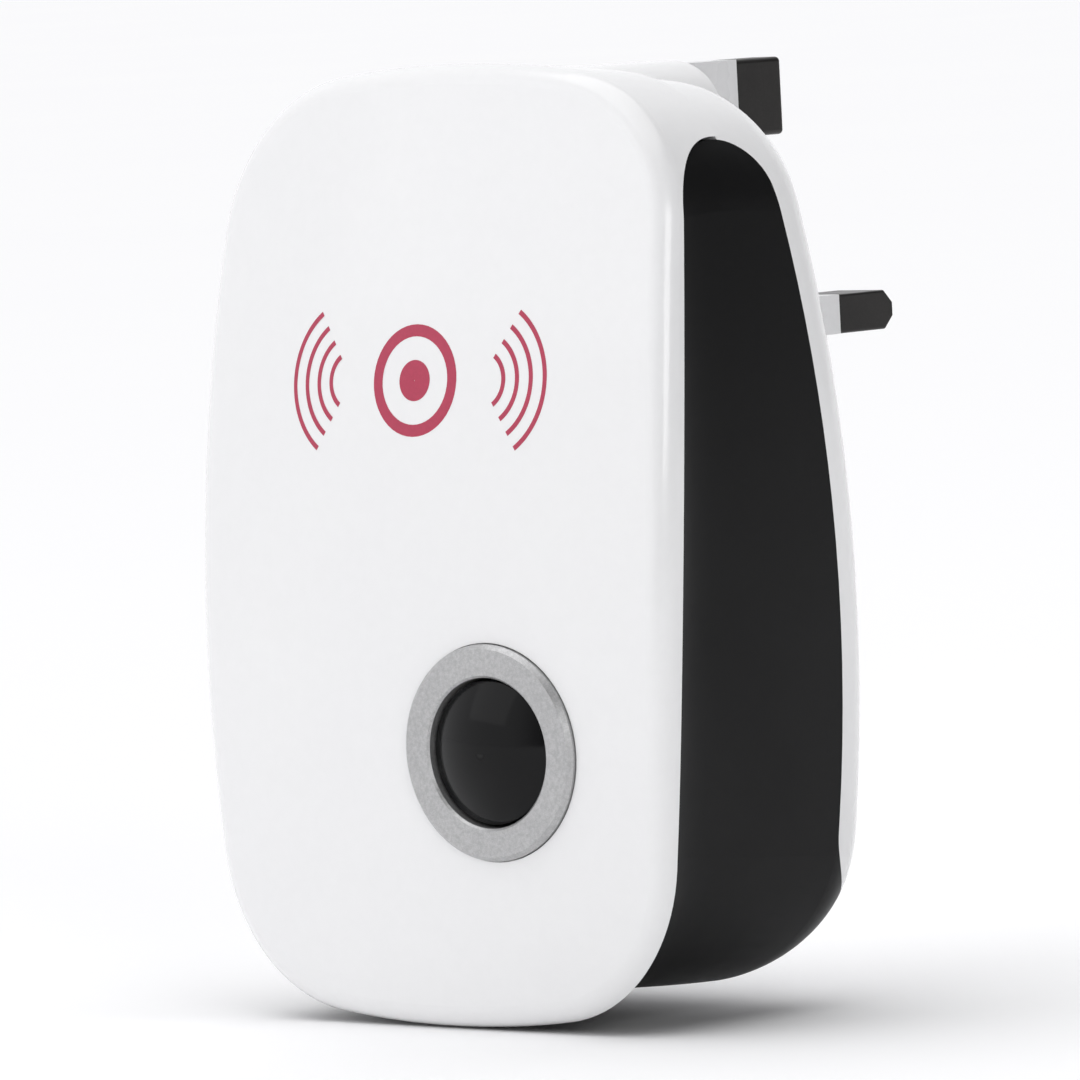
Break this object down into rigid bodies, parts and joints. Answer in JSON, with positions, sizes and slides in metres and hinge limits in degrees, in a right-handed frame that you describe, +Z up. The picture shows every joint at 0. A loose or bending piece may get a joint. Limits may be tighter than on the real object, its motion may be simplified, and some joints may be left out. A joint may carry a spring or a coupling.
{
  "type": "ultrasonic pest repeller",
  "caption": "Plug-in ultrasonic pest repeller: domed white case with a black side band, a round push button in a silver ring, and a plug for a wall socket.",
  "frame": {"origin": "on the plug's flat face, midway between the line and neutral pins", "axes": "+X to the right seen from the front, +Y into the wall along the pins, +Z up; the front face looks along -Y and leans back"},
  "size_m": [0.0638, 0.0607, 0.0957],
  "materials": {
    "white_gloss": "gloss white ABS",
    "black_satin": "satin black ABS",
    "silver_paint": "satin silver paint on plastic",
    "black_gloss": "gloss black",
    "dark_pin": "dark plated brass",
    "white_sleeve": "moulded insulation",
    "grey_nylon": "nylon",
    "brown_insulation": "PVC insulation",
    "blue_insulation": "PVC insulation",
    "red_insulation": "PVC insulation",
    "green_board": "solder mask on glass fibre",
    "switch_black": "moulded",
    "lamp_resin": "milky resin",
    "aluminium_can": "drawn",
    "black_rubber": "moulded",
    "mesh_fabric": "woven",
    "yellow_case": "moulded box",
    "chip_epoxy": "moulded epoxy",
    "capacitor_sleeve": "shrink sleeve",
    "ferrite": "ferrite drum",
    "resistor_cement": "cement",
    "resistor_lacquer": "lacquer",
    "zinc_steel": "zinc plated"
  },
  "bodies": {
    "case": {"front_cover": "white_gloss", "rear_cover": "white_gloss", "plug_plate": "white_gloss", "side_band": "black_satin", "bezel_ring": "silver_paint", "line_pin": "dark_pin", "neutral_pin": "dark_pin", "earth_pin": "dark_pin", "line_pin_sleeve": "white_sleeve", "neutral_pin_sleeve": "white_sleeve", "earth_pin_sleeve": "white_sleeve", "pin_retainer": "grey_nylon", "line_lead": "brown_insulation", "neutral_lead": "blue_insulation", "circuit_board": "green_board", "switch_body": "switch_black", "night_light_leds": "lamp_resin", "transducer": "aluminium_can", "transducer_gasket": "black_rubber", "dust_mesh": "mesh_fabric", "transducer_leads": "red_insulation", "film_capacitor": "yellow_case", "bridge_rectifier": "chip_epoxy", "controller_chip": "chip_epoxy", "smoothing_capacitors": "capacitor_sleeve", "inductor": "ferrite", "fuse_resistor": "resistor_cement", "resistors": "resistor_lacquer", "case_screws": "zinc_steel", "board_screws": "zinc_steel"},
    "button": {"button_cap": "black_gloss"},
    "plunger": {"switch_plunger": "switch_black"}
  },
  "joints": [
    {"name": "button_press", "type": "slide", "parent": "case", "child": "button", "axis": [-0.0422, 0.9991, 0.005], "range_m": [0, 0.0006], "stiffness_N_per_m": 400, "springref_m": -0.0015},
    {"name": "plunger_press", "type": "slide", "parent": "case", "child": "plunger", "axis": [0, 0.9971, -0.0767], "range_m": [0, 0.0006]}
  ],
  "couplings": [
    {"joint": "plunger_press", "follows": "button_press", "ratio": 1}
  ]
}
